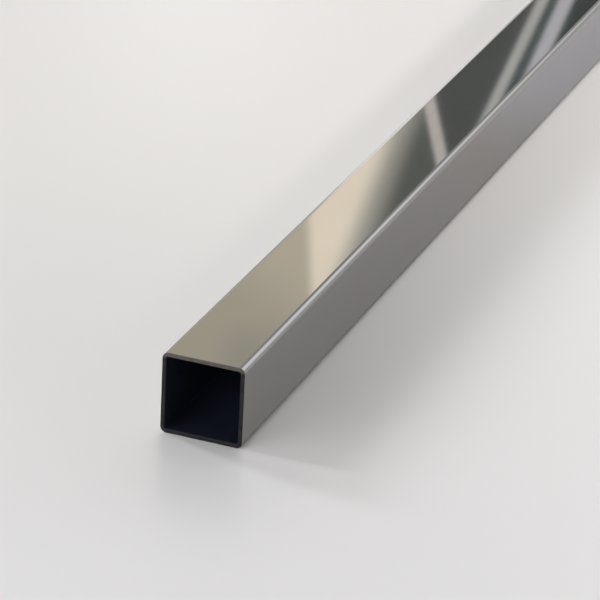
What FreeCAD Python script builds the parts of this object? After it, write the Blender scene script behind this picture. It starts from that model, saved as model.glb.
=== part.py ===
# One straight length of thin-walled square steel tube, 20 mm across the flats.
# It lies along Y on one flat side. The origin is under its middle, on the plane that it lies on.
import FreeCAD, Part
import math
import os

# Driving sizes, in millimetres
tube_side = 20.0  # outside, across the flats
wall = 1.0  # thickness of the strip that the tube is rolled from
bore_corner_radius = 0.5  # inside of each bend
tube_length = 1000.0  # one stock length, cut square at both ends
outer_edge_radius = 0.2  # rounding that finishing leaves on the outer edges of a cut end
bore_edge_break = 0.15  # chamfer that deburring leaves on the bore's edges at a cut end

# Sizes that follow from them
bore_side = tube_side - 2 * wall
outer_corner_radius = bore_corner_radius + wall
axis_height = tube_side / 2
front_end = -tube_length / 2
rear_end = tube_length / 2

quarter_turn = math.pi / 2
same_place = 1e-6  # two places nearer than this, in millimetres, are one


def section_point(x, height):
    """A point of the front end's plane, with x and height measured from the tube's axis."""
    return FreeCAD.Vector(x, front_end, axis_height + height)


def corner_point(centre, radius, angle):
    """The point of a corner's bend at this angle, about the bend's centre."""
    return section_point(centre[0] + radius * math.cos(angle), centre[1] + radius * math.sin(angle))


def corner_bends(side, radius):
    """The start, middle and end of each of a rounded square's four bends, in order round the section."""
    offset = side / 2 - radius
    centres = [(offset, offset), (-offset, offset), (-offset, -offset), (offset, -offset)]
    bends = []
    for corner, centre in enumerate(centres):
        start = corner * quarter_turn
        angles = [start, start + quarter_turn / 2, start + quarter_turn]
        bends.append([corner_point(centre, radius, angle) for angle in angles])
    return bends


def rounded_square(side, radius):
    """A closed wire at the front end: four bends, with a flat from the end of each to the start of the next."""
    bends = corner_bends(side, radius)
    edges = []
    for corner, bend in enumerate(bends):
        next_bend = bends[(corner + 1) % len(bends)]
        edges.append(Part.Arc(*bend).toShape())
        edges.append(Part.LineSegment(bend[-1], next_bend[0]).toShape())
    return Part.Wire(edges)


def wall_section():
    """The ring of metal that a cut end shows, with bends inside and outside on the same centres."""
    outside = rounded_square(tube_side, outer_corner_radius)
    bore = rounded_square(bore_side, bore_corner_radius)
    return Part.makeFace([outside, bore], "Part::FaceMakerBullseye")


def lies_in_a_cut(edge):
    """Whether this edge is one of those round the outside or the bore at a cut end."""
    return any(abs(edge.CenterOfMass.y - end) < same_place for end in (front_end, rear_end))


def bounds_the_bore(edge):
    """Whether this edge's middle is no further from the axis, across or up, than the bore's flats are."""
    middle = edge.CenterOfMass
    reach = max(abs(middle.x), abs(middle.z - axis_height))
    return reach < bore_side / 2 + same_place


def cut_edges(tube, of_the_bore):
    """The edges of both cut ends, either those of the bore or those of the outside."""
    return [edge for edge in tube.Edges if lies_in_a_cut(edge) and bounds_the_bore(edge) == of_the_bore]


def square_tube():
    """The rolled tube, cut to length, rounded along its outer edges and deburred round the bore."""
    tube = wall_section().extrude(FreeCAD.Vector(0, tube_length, 0))
    tube = tube.makeFillet(outer_edge_radius, cut_edges(tube, of_the_bore=False))
    return tube.makeChamfer(bore_edge_break, cut_edges(tube, of_the_bore=True))


os.makedirs("parts", exist_ok=True)
square_tube().exportStep("parts/square_tube.step")
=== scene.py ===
# A straight length of polished square steel tube on a pale floor, seen from above its open front end.
# Everything is in metres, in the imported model's frame: the tube lies along Y, on z = 0.
import bpy
import math
from mathutils import Matrix, Vector


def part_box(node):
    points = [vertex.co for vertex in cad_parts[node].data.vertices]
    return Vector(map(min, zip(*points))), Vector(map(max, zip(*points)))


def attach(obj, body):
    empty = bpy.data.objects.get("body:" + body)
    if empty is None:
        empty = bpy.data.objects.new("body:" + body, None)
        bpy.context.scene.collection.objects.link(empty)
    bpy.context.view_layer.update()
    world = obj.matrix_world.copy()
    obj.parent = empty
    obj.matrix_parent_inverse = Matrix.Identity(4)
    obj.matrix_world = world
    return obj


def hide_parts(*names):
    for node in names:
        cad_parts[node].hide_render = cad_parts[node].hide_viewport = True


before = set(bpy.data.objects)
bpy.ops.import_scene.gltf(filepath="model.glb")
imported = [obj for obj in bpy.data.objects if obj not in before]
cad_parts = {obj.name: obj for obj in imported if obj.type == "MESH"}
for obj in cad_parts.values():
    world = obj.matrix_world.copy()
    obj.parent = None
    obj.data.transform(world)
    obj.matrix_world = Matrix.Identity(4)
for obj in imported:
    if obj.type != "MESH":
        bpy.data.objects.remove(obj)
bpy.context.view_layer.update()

NODE = "square_tube"
MM = 0.001

# Sizes that the solid was made with, which its box doesn't give
WALL = 1.0 * MM
BORE_CORNER_RADIUS = 0.5 * MM
OUTER_EDGE_RADIUS = 0.2 * MM
BORE_EDGE_BREAK = 0.15 * MM

tube_low, tube_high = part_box(NODE)
TUBE_SIDE = tube_high.x - tube_low.x
FRONT = tube_low.y
REAR = tube_high.y
AXIS_HEIGHT = (tube_low.z + tube_high.z) / 2
OUTER_CORNER_RADIUS = BORE_CORNER_RADIUS + WALL
BEND_CENTRE_OFFSET = TUBE_SIDE / 2 - OUTER_CORNER_RADIUS

# How finely the mesh follows the bends, the rounded end edges and the length
BEND_STEPS = 24
EDGE_STEPS = 6
ROW_SPACING = 20 * MM

# The tube's material slots
SKIN, CUT, BORE = 0, 1, 2


# Geometry of the tube

def outline():
    """Every point round the section, as its bend's centre and the direction from there, its normal."""
    points = []
    for bend in range(4):
        middle = math.radians(90 * bend + 45)
        centre = Vector((math.copysign(BEND_CENTRE_OFFSET, math.cos(middle)), 0,
                         math.copysign(BEND_CENTRE_OFFSET, math.sin(middle)) + AXIS_HEIGHT))
        for step in range(BEND_STEPS + 1):
            angle = math.radians(90 * (bend + step / BEND_STEPS))
            points.append((centre, Vector((math.cos(angle), 0, math.sin(angle)))))
    return points


def rows(start, end):
    """Evenly spaced places along the tube, both ends included."""
    count = round(abs(end - start) / ROW_SPACING)
    return [start + (end - start) * row / count for row in range(count + 1)]


def end_strips(end, inward):
    """The strips from the skin to the bore at a cut end: a rounded edge, the flat rim and a chamfer."""
    rim_outer = OUTER_CORNER_RADIUS - OUTER_EDGE_RADIUS
    rim_inner = BORE_CORNER_RADIUS + BORE_EDGE_BREAK
    edge = []
    for step in range(EDGE_STEPS + 1):
        turn = math.radians(90 * step / EDGE_STEPS)
        edge.append((rim_outer + OUTER_EDGE_RADIUS * math.cos(turn),
                     end + inward * OUTER_EDGE_RADIUS * (1 - math.sin(turn)),
                     math.cos(turn), -inward * math.sin(turn)))
    rim = [(rim_outer, end, 0, -inward), (rim_inner, end, 0, -inward)]
    slant = math.sqrt(0.5)
    chamfer = [(rim_inner, end, -slant, -inward * slant),
               (BORE_CORNER_RADIUS, end + inward * BORE_EDGE_BREAK, -slant, -inward * slant)]
    return [(CUT, edge), (CUT, rim), (CUT, chamfer)]


def wall_strips():
    """The strips round the wall, as a cut along the tube shows it. Each starts where the last one ends.

    A strip is its material and its points. A point is its distance from the bend's centre, its y,
    and the outward and lengthwise parts of its normal."""
    skin_rows = rows(FRONT + OUTER_EDGE_RADIUS, REAR - OUTER_EDGE_RADIUS)
    bore_rows = rows(REAR - BORE_EDGE_BREAK, FRONT + BORE_EDGE_BREAK)
    skin = (SKIN, [(OUTER_CORNER_RADIUS, y, 1, 0) for y in skin_rows])
    bore = (BORE, [(BORE_CORNER_RADIUS, y, -1, 0) for y in bore_rows])
    front = [(kind, points[::-1]) for kind, points in reversed(end_strips(FRONT, 1))]
    return [skin] + end_strips(REAR, -1) + [bore] + front


def ring_vertices(strips, around):
    """One ring of vertices round the section for each point of the strips, shared where two strips meet."""
    vertices = []
    for _, points in strips:
        for distance, y, _, _ in points[:-1]:
            vertices += [centre + direction * distance + Vector((0, y, 0)) for centre, direction in around]
    return vertices


def faces_between(ring, next_ring, around):
    """The four-sided faces from one ring to the next, as their vertices' numbers."""
    first = ring * len(around)
    second = next_ring * len(around)
    faces = []
    for place in range(len(around)):
        after = (place + 1) % len(around)
        faces.append((first + place, second + place, second + after, first + after))
    return faces


def normals_between(here, there, around):
    """The exact normals at the corners of those faces, in the same order."""
    normals = []
    for place, (_, direction) in enumerate(around):
        next_direction = around[(place + 1) % len(around)][1]
        corners = ((here, direction), (there, direction), (there, next_direction), (here, next_direction))
        for (_, _, outward, lengthwise), facing in corners:
            normals.append(facing * outward + Vector((0, lengthwise, 0)))
    return normals


def make_tube():
    """The tube as one closed mesh, with the exact normals of its flats, bends and edges."""
    around = outline()
    strips = wall_strips()
    vertices = ring_vertices(strips, around)
    ring_count = len(vertices) // len(around)
    faces = []
    kinds = []
    normals = []
    ring = 0
    for kind, points in strips:
        for here, there in zip(points, points[1:]):
            faces += faces_between(ring, (ring + 1) % ring_count, around)
            normals += normals_between(here, there, around)
            kinds += [kind] * len(around)
            ring += 1
    mesh = bpy.data.meshes.new("polished_tube")
    mesh.from_pydata(vertices, [], faces)
    mesh.polygons.foreach_set("material_index", kinds)
    mesh.polygons.foreach_set("use_smooth", [True] * len(faces))
    mesh.normals_split_custom_set(normals)
    mesh.validate()
    tube = bpy.data.objects.new("polished_tube", mesh)
    bpy.context.scene.collection.objects.link(tube)
    return tube


# Nodes

def new_material(name):
    """A material with nodes, and its Principled shader."""
    material = bpy.data.materials.new(name)
    material.use_nodes = True
    return material, material.node_tree, material.node_tree.nodes["Principled BSDF"]


def add_node(tree, kind, inputs=None, **settings):
    """A node of this kind, with its settings and the plain values or links of its inputs."""
    node = tree.nodes.new(kind)
    for name, value in settings.items():
        setattr(node, name, value)
    for socket, value in (inputs or {}).items():
        if isinstance(value, bpy.types.NodeSocket):
            tree.links.new(value, node.inputs[socket])
        else:
            node.inputs[socket].default_value = value
    return node


def calculate(tree, operation, first, second):
    """What a Math node makes of two values."""
    node = add_node(tree, "ShaderNodeMath", {0: first, 1: second}, operation=operation)
    return node.outputs["Value"]


def smooth_step(tree, value, low, high):
    """0 at low and 1 at high, smooth between. low may be the larger."""
    node = add_node(tree, "ShaderNodeMapRange",
                    {"Value": value, "From Min": low, "From Max": high}, interpolation_type="SMOOTHSTEP")
    return node.outputs["Result"]


def blend(tree, value, first, second):
    """A colour between two, by a value from 0 to 1. Each is a plain colour or a link."""
    node = add_node(tree, "ShaderNodeMix", data_type="RGBA")
    tree.links.new(value, node.inputs["Factor"])
    for socket, colour in (("A", first), ("B", second)):
        if isinstance(colour, bpy.types.NodeSocket):
            tree.links.new(colour, node.inputs[socket])
        else:
            node.inputs[socket].default_value = (*colour, 1)
    return node.outputs["Result"]


def object_place(tree, axis):
    """Where a surface point is along one axis, in its object's own coordinates."""
    place = add_node(tree, "ShaderNodeTexCoord")
    return add_node(tree, "ShaderNodeSeparateXYZ", {0: place.outputs["Object"]}).outputs[axis]


def stretched_noise(tree, size, stretch):
    """Noise of about this size in the object's own coordinates, drawn out by the stretch along each axis."""
    place = add_node(tree, "ShaderNodeTexCoord")
    mapping = add_node(tree, "ShaderNodeMapping",
                       {"Vector": place.outputs["Object"], "Scale": [1 / size / part for part in stretch]})
    noise = add_node(tree, "ShaderNodeTexNoise",
                     {"Vector": mapping.outputs["Vector"], "Scale": 1.0, "Detail": 4.0, "Roughness": 0.6})
    return noise.outputs["Fac"]


def spread(tree, noise, low, high):
    """The noise's middle range, spread between two values."""
    node = add_node(tree, "ShaderNodeMapRange",
                    {"Value": noise, "From Min": 0.3, "From Max": 0.7, "To Min": low, "To Max": high})
    return node.outputs["Result"]


# Materials of the tube

def polished_steel():
    """Mirror-polished steel, with very faint polishing lines along the tube."""
    darker_steel = (0.375, 0.372, 0.37)
    lighter_steel = (0.40, 0.397, 0.395)
    material, tree, shader = new_material("polished_steel")
    lines = stretched_noise(tree, size=0.25 * MM, stretch=(1, 160, 1))
    clouds = stretched_noise(tree, size=30 * MM, stretch=(1, 3, 1))
    tree.links.new(blend(tree, spread(tree, clouds, 0, 1), darker_steel, lighter_steel),
                   shader.inputs["Base Color"])
    tree.links.new(spread(tree, lines, low=0.02, high=0.045), shader.inputs["Roughness"])
    shader.inputs["Metallic"].default_value = 1
    return material


def sawn_steel():
    """The dark, dull metal of a sawn and deburred end, with painted light along its top wall that makes it
    browner and lighter there.
    """
    top_light_from = AXIS_HEIGHT + TUBE_SIDE / 2 - 1.6 * MM
    top_light_to = AXIS_HEIGHT + TUBE_SIDE / 2 - 0.7 * MM
    material, tree, shader = new_material("sawn_steel")
    saw_marks = stretched_noise(tree, size=0.12 * MM, stretch=(8, 1, 8))
    marks = spread(tree, saw_marks, 0, 1)
    dull = blend(tree, marks, (0.006, 0.007, 0.010), (0.024, 0.024, 0.027))
    # painted light: the top wall's browner, lighter colour stands in for light from above falling on the rim
    painted_top_light = blend(tree, marks, (0.075, 0.066, 0.056), (0.115, 0.104, 0.092))
    upper = smooth_step(tree, object_place(tree, "Z"), top_light_from, top_light_to)
    tree.links.new(blend(tree, upper, dull, painted_top_light), shader.inputs["Base Color"])
    bump = add_node(tree, "ShaderNodeBump", {"Height": saw_marks, "Strength": 0.4, "Distance": 0.02 * MM})
    tree.links.new(bump.outputs["Normal"], shader.inputs["Normal"])
    shader.inputs["Specular IOR Level"].default_value = 0.3
    shader.inputs["Roughness"].default_value = 0.5
    return material


def dark_bore():
    """The unpolished inside, near black with a trace of blue, darkest at its mouths and painted lighter
    further in, as painted light.
    """
    dark_mouth_depth = 45 * MM
    material, tree, shader = new_material("dark_bore")
    scale_marks = stretched_noise(tree, size=1.5 * MM, stretch=(1, 6, 1))
    marks = spread(tree, scale_marks, 0, 1)
    y = object_place(tree, "Y")
    from_front = calculate(tree, "SUBTRACT", y, FRONT)
    from_rear = calculate(tree, "SUBTRACT", REAR, y)
    depth = calculate(tree, "MINIMUM", from_front, from_rear)
    mouth = blend(tree, marks, (0.007, 0.009, 0.017), (0.012, 0.015, 0.027))
    # painted light: further in, the bore is given a lighter colour than at its mouths
    painted_light_inside = blend(tree, marks, (0.037, 0.046, 0.085), (0.055, 0.068, 0.120))
    colour = blend(tree, smooth_step(tree, depth, 0.0, dark_mouth_depth), mouth, painted_light_inside)
    tree.links.new(colour, shader.inputs["Base Color"])
    tree.links.new(spread(tree, scale_marks, low=0.5, high=0.65), shader.inputs["Roughness"])
    shader.inputs["Specular IOR Level"].default_value = 0.2
    return material


# Floor

def floor_reflection_with_painted_shade(tree):
    """The floor's colour in reflections, with painted shade: darker than it is, and dimmest a little behind
    the front end.
    """
    painted_shade_beside_front = (0.52, 0.505, 0.495)
    # painted shadow: the floor's darkest colour in reflections, a little behind the front end
    behind_front = (0.425, 0.415, 0.405)
    lighter_shade_further_back = (0.55, 0.55, 0.59)
    y = object_place(tree, "Y")
    behind = smooth_step(tree, y, FRONT + 20 * MM, FRONT + 130 * MM)
    back = smooth_step(tree, y, FRONT + 190 * MM, FRONT + 260 * MM)
    return blend(tree, back, blend(tree, behind, painted_shade_beside_front, behind_front), lighter_shade_further_back)


def make_floor():
    """A plain pale table top with a soft sheen, whose reflections show painted shade."""
    pale = (0.80, 0.797, 0.795)
    floor_size = 16.0
    bpy.ops.mesh.primitive_plane_add(size=floor_size, location=(0, 0, 0))
    floor = bpy.context.object
    floor.name = "floor"
    material, tree, shader = new_material("pale_floor")
    path = add_node(tree, "ShaderNodeLightPath")
    # reflections of the floor show the painted shade, not its own pale colour
    tree.links.new(blend(tree, path.outputs["Is Glossy Ray"], pale, floor_reflection_with_painted_shade(tree)),
                   shader.inputs["Base Color"])
    shader.inputs["Roughness"].default_value = 0.25
    shader.inputs["IOR"].default_value = 1.5
    floor.data.materials.append(material)


# Wall that the polished faces mirror

class Wall:
    """An upright wall of light and dark areas that only reflections show.

    x and z on it are millimetres in the tube's frame. Its areas are painted over each other in turn."""

    half_width = 4.0
    height = 3.0

    def __init__(self, name, y, colour):
        mesh = bpy.data.meshes.new(name)
        corners = [(-self.half_width, y, 0), (self.half_width, y, 0),
                   (self.half_width, y, self.height), (-self.half_width, y, self.height)]
        mesh.from_pydata(corners, [], [(0, 1, 2, 3)])
        wall = bpy.data.objects.new(name, mesh)
        bpy.context.scene.collection.objects.link(wall)
        for ray in ("camera", "diffuse", "transmission", "volume_scatter", "shadow"):
            setattr(wall, "visible_" + ray, False)
        material = bpy.data.materials.new(name)
        material.use_nodes = True
        mesh.materials.append(material)
        self.tree = material.node_tree
        self.tree.nodes.clear()
        self.x = calculate(self.tree, "DIVIDE", object_place(self.tree, "X"), MM)
        self.z = calculate(self.tree, "DIVIDE", object_place(self.tree, "Z"), MM)
        self.colour = add_node(self.tree, "ShaderNodeRGB").outputs[0]
        self.colour.default_value = (*colour, 1)

    def beyond(self, x, z, lean):
        """How far each place is to the right of a line through x, z. It leans so much per unit of height."""
        rise = calculate(self.tree, "SUBTRACT", self.z, z)
        across = calculate(self.tree, "SUBTRACT", self.x, x)
        return calculate(self.tree, "SUBTRACT", across, calculate(self.tree, "MULTIPLY", rise, lean))

    def right_of(self, x, z, lean, soft):
        """A mask, 1 to the right of a line with so soft an edge."""
        return smooth_step(self.tree, self.beyond(x, z, lean), -soft, soft)

    def left_of(self, x, z, lean, soft):
        """A mask, 1 to the left of a line with so soft an edge."""
        return smooth_step(self.tree, self.beyond(x, z, lean), soft, -soft)

    def above(self, z, soft, x=0, slope=0):
        """A mask, 1 above a line that rises so much per unit to the right."""
        across = calculate(self.tree, "SUBTRACT", self.x, x)
        height = calculate(self.tree, "SUBTRACT", self.z, calculate(self.tree, "MULTIPLY", across, slope))
        return smooth_step(self.tree, height, z - soft, z + soft)

    def below(self, z, soft):
        """A mask, 1 below a level line."""
        return smooth_step(self.tree, self.z, z + soft, z - soft)

    def band(self, x, z, lean, half_width, soft):
        """A mask, 1 along a line."""
        away = calculate(self.tree, "ABSOLUTE", self.beyond(x, z, lean), 0.0)
        return smooth_step(self.tree, away, half_width + soft, half_width - soft)

    def both(self, first, second):
        """A mask, 1 where both are."""
        return calculate(self.tree, "MULTIPLY", first, second)

    def paint(self, colour, mask):
        """Paints the colour where the mask is 1."""
        self.colour = blend(self.tree, mask, self.colour, colour)

    def light_up(self, strength):
        """Lets the painted wall glow."""
        glow = add_node(self.tree, "ShaderNodeEmission", {"Color": self.colour, "Strength": strength})
        add_node(self.tree, "ShaderNodeOutputMaterial", {"Surface": glow.outputs["Emission"]})


def paint_dark_areas(wall):
    """What the far part of the top face mirrors, a little lighter in each step to the left."""
    wall.paint((0.07, 0.09, 0.088), wall.left_of(x=-405, z=557, lean=-0.34, soft=3))
    wall.paint((0.097, 0.102, 0.098), wall.left_of(x=-427, z=573, lean=-0.36, soft=4))
    wall.paint((0.125, 0.132, 0.12), wall.left_of(x=-494, z=655, lean=0.1, soft=12))


def paint_bright_area(wall):
    """The warm bright area, with a grey edge on its right and fading below."""
    grey_edge = wall.left_of(x=-526, z=695, lean=-0.27, soft=15)
    wall.paint((0.52, 0.505, 0.44), grey_edge)
    bright = wall.left_of(x=-550, z=727, lean=-0.3, soft=10)
    wall.paint((1.0, 0.89, 0.715), bright)
    faded = wall.both(wall.left_of(x=-530, z=680, lean=-0.3, soft=20), wall.below(z=660, soft=24))
    wall.paint((0.46, 0.43, 0.39), faded)


def paint_beige_area(wall):
    """The beige area that the front part of the top face mirrors, and what is below it."""
    beige = wall.left_of(x=-594, z=783, lean=0.09, soft=6)
    wall.paint((0.59, 0.53, 0.415), beige)
    upper = wall.above(z=817, soft=38, x=-630, slope=0.5)
    wall.paint((0.487, 0.447, 0.355), wall.both(beige, upper))
    top_corner = wall.both(wall.right_of(x=-664, z=875, lean=-0.2, soft=16), wall.above(z=866, soft=18))
    wall.paint((0.41, 0.385, 0.32), wall.both(beige, top_corner))
    under_beige = wall.below(z=630, soft=40)
    wall.paint((0.40, 0.385, 0.35), wall.both(beige, under_beige))
    bright_left = wall.both(wall.right_of(x=-850, z=310, lean=0.3, soft=35),
                            wall.left_of(x=-655, z=300, lean=0.15, soft=60))
    wall.paint((0.92, 0.91, 0.88), wall.both(bright_left, under_beige))


def paint_stripes(wall):
    """The three pale stripes across the dark areas."""
    wall.paint((0.60, 0.56, 0.52), wall.band(x=-492.5, z=655, lean=0.29, half_width=5.5, soft=2.5))
    wall.paint((0.50, 0.50, 0.48), wall.band(x=-428.5, z=573, lean=-0.36, half_width=4.2, soft=2.5))
    wall.paint((0.53, 0.525, 0.54), wall.band(x=-404.5, z=557, lean=-0.34, half_width=5.7, soft=2.5))


def paint_surroundings(wall):
    """Greys for the bends to mirror: right of the stripes, along the top, and a tall window far right."""
    right_side = wall.both(wall.right_of(x=-385, z=600, lean=0, soft=12),
                           wall.right_of(x=-385, z=600, lean=-0.75, soft=12))
    wall.paint((0.32, 0.315, 0.305), right_side)
    wall.paint((0.31, 0.305, 0.30), wall.above(z=930, soft=25))
    window = wall.right_of(x=210, z=800, lean=0, soft=170)
    wall.paint((0.50, 0.49, 0.48), wall.both(window, wall.above(z=190, soft=110)))
    wall.paint((0.86, 0.84, 0.84), wall.both(window, wall.above(z=560, soft=150)))


def make_back_wall():
    """The wall behind the tube. The top face shows its upright areas as slanting ones."""
    behind_front = 1.7
    wall = Wall("back_wall", y=FRONT + behind_front, colour=(0.062, 0.071, 0.069))
    paint_dark_areas(wall)
    paint_bright_area(wall)
    paint_beige_area(wall)
    paint_stripes(wall)
    paint_surroundings(wall)
    wall.light_up(strength=1.54)


# World

def horizontal(azimuth):
    """The level direction at so many degrees from +Y towards +X."""
    return Vector((math.sin(math.radians(azimuth)), math.cos(math.radians(azimuth)), 0))


class Sky:
    """Light from all round, built up in turn. Heights are the upward part of a direction, from 0 to 1."""

    def __init__(self, name):
        world = bpy.data.worlds.new(name)
        bpy.context.scene.world = world
        world.use_nodes = True
        self.tree = world.node_tree
        self.place = add_node(self.tree, "ShaderNodeTexCoord").outputs["Generated"]
        self.height = add_node(self.tree, "ShaderNodeSeparateXYZ", {0: self.place}).outputs["Z"]
        self.light = 0.0

    def rising(self, strength, low, high):
        """Light that grows from nothing at the low height to its full strength at the high one."""
        return calculate(self.tree, "MULTIPLY", smooth_step(self.tree, self.height, low, high), strength)

    def add(self, light):
        """Adds light to the sky."""
        self.light = calculate(self.tree, "ADD", self.light, light)

    def add_window(self, azimuth, strength, narrowness, foot, full_from, full_to, top):
        """Adds a wide soft window between two heights, strongest at its azimuth."""
        aim = add_node(self.tree, "ShaderNodeVectorMath", {0: self.place, 1: horizontal(azimuth)},
                       operation="DOT_PRODUCT")
        facing = calculate(self.tree, "MAXIMUM", aim.outputs["Value"], 0.0)
        across = calculate(self.tree, "POWER", facing, narrowness)
        upright = calculate(self.tree, "MULTIPLY", smooth_step(self.tree, self.height, foot, full_from),
                            smooth_step(self.tree, self.height, top, full_to))
        side = calculate(self.tree, "MULTIPLY", across, strength)
        self.add(calculate(self.tree, "MULTIPLY", side, upright))

    def show_instead(self, ray, value):
        """Lets the rays of one kind see this value and not the light."""
        mixed = add_node(self.tree, "ShaderNodeMix", {"Factor": ray, "A": self.light, "B": value})
        self.light = mixed.outputs["Result"]

    def light_up(self, colour):
        """Lets the sky glow in this colour."""
        shader = self.tree.nodes["Background"]
        shader.inputs["Color"].default_value = (*colour, 1)
        self.tree.links.new(self.light, shader.inputs["Strength"])


def make_world():
    """Soft light from low windows and from above. What is seen or mirrored of it is plain and pale."""
    sky = Sky("surround")
    sky.add(sky.rising(strength=0.04, low=0.45, high=0.8))
    sky.add_window(azimuth=210, strength=6.7, narrowness=3,
                   foot=0.15, full_from=0.35, full_to=0.5, top=0.75)
    sky.add_window(azimuth=350, strength=4.0, narrowness=3,
                   foot=0.15, full_from=0.35, full_to=0.5, top=0.75)
    sky.add_window(azimuth=90, strength=2.0, narrowness=2,
                   foot=0.02, full_from=0.12, full_to=0.25, top=0.4)
    path = add_node(sky.tree, "ShaderNodeLightPath")
    mirrored_at_horizon = 0.35
    mirrored = calculate(sky.tree, "ADD", mirrored_at_horizon, sky.rising(strength=0.6, low=0.05, high=0.5))
    sky.show_instead(path.outputs["Is Glossy Ray"], mirrored)
    seen = calculate(sky.tree, "MAXIMUM", path.outputs["Is Camera Ray"], path.outputs["Is Transmission Ray"])
    sky.show_instead(seen, value=0.85)
    sky.light_up(colour=(1.0, 0.99, 1.0))


# Lamps

def add_spot(name, aim, distance, azimuth, elevation, reach, fade, size, power, colour):
    """A lamp aimed at a place on the floor, x, y from the front end's middle, that lights so far round it.

    fade is the share of its cone that fades to nothing. Reflections don't show the lamp."""
    lamp = bpy.data.lights.new(name, "SPOT")
    lamp.energy = power
    lamp.color = colour
    lamp.spot_size = 2 * math.atan(reach / distance)
    lamp.spot_blend = fade
    lamp.shadow_soft_size = size
    rise = math.radians(elevation)
    direction = horizontal(azimuth) * math.cos(rise) + Vector((0, 0, math.sin(rise)))
    holder = bpy.data.objects.new(name, lamp)
    holder.location = Vector((aim[0], FRONT + aim[1], 0)) + direction * distance
    holder.rotation_euler = direction.to_track_quat("Z", "Y").to_euler()
    holder.visible_glossy = False
    bpy.context.scene.collection.objects.link(holder)


def make_lamps():
    """Lamps on the left light the floor round the front end, and others light it further back."""
    cool = (0.99, 0.985, 1.0)
    warm = (1.0, 0.955, 0.89)
    rosy = (1.0, 0.955, 0.935)
    add_spot("left_spot", aim=(0.03, -1.0), distance=3.0, azimuth=290, elevation=35,
             reach=1.25, fade=0.36, size=0.3, power=125, colour=cool)
    add_spot("rear_left_spot", aim=(0.03, -1.0), distance=3.0, azimuth=305, elevation=23,
             reach=1.25, fade=0.36, size=0.3, power=135, colour=cool)
    add_spot("right_spot", aim=(0.03, 1.34), distance=3.0, azimuth=90, elevation=35,
             reach=1.26, fade=0.29, size=0.2, power=150, colour=warm)
    add_spot("top_spot", aim=(0.03, 1.34), distance=3.0, azimuth=0, elevation=80,
             reach=1.26, fade=0.29, size=0.12, power=100, colour=warm)
    add_spot("far_right_spot", aim=(2.35, 1.21), distance=6.0, azimuth=0, elevation=90,
             reach=2.6, fade=0.085, size=0.1, power=560, colour=rosy)


# The photograph's camera: where it stands from the front end, and its turns in degrees
CAMERA_FROM_FRONT = (243.3 * MM, -603.7 * MM, 332.7 * MM)
CAMERA_TURN_LEFT = 20.12
CAMERA_TILT_DOWN = 24.51
CAMERA_ROLL = 3.00
SENSOR = 36.0
FRAME_PIXELS = 600
FOCAL_PIXELS = 3235.1
NEAREST_SEEN = 10 * MM


def make_camera():
    """The camera, with no shift: its axes are worked out from the three turns."""
    turn = math.radians(CAMERA_TURN_LEFT)
    tilt = math.radians(CAMERA_TILT_DOWN)
    roll = math.radians(CAMERA_ROLL)
    ahead = Vector((-math.sin(turn) * math.cos(tilt), math.cos(turn) * math.cos(tilt), -math.sin(tilt)))
    level_right = Vector((math.cos(turn), math.sin(turn), 0))
    level_up = level_right.cross(ahead)
    right = math.cos(roll) * level_right + math.sin(roll) * level_up
    up = -math.sin(roll) * level_right + math.cos(roll) * level_up
    data = bpy.data.cameras.new("camera")
    data.sensor_width = SENSOR
    data.lens = SENSOR * FOCAL_PIXELS / FRAME_PIXELS
    data.clip_start = NEAREST_SEEN
    camera = bpy.data.objects.new("camera", data)
    x, y, z = CAMERA_FROM_FRONT
    axes = Matrix((right, up, -ahead)).transposed().to_4x4()
    camera.matrix_world = Matrix.Translation((x, FRONT + y, z)) @ axes
    bpy.context.scene.collection.objects.link(camera)
    bpy.context.scene.camera = camera


tube = make_tube()
for material in (polished_steel(), sawn_steel(), dark_bore()):
    tube.data.materials.append(material)
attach(tube, "root")
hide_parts(NODE)

make_floor()
make_back_wall()
make_world()
make_lamps()
make_camera()
bpy.context.scene.view_settings.view_transform = "Standard"
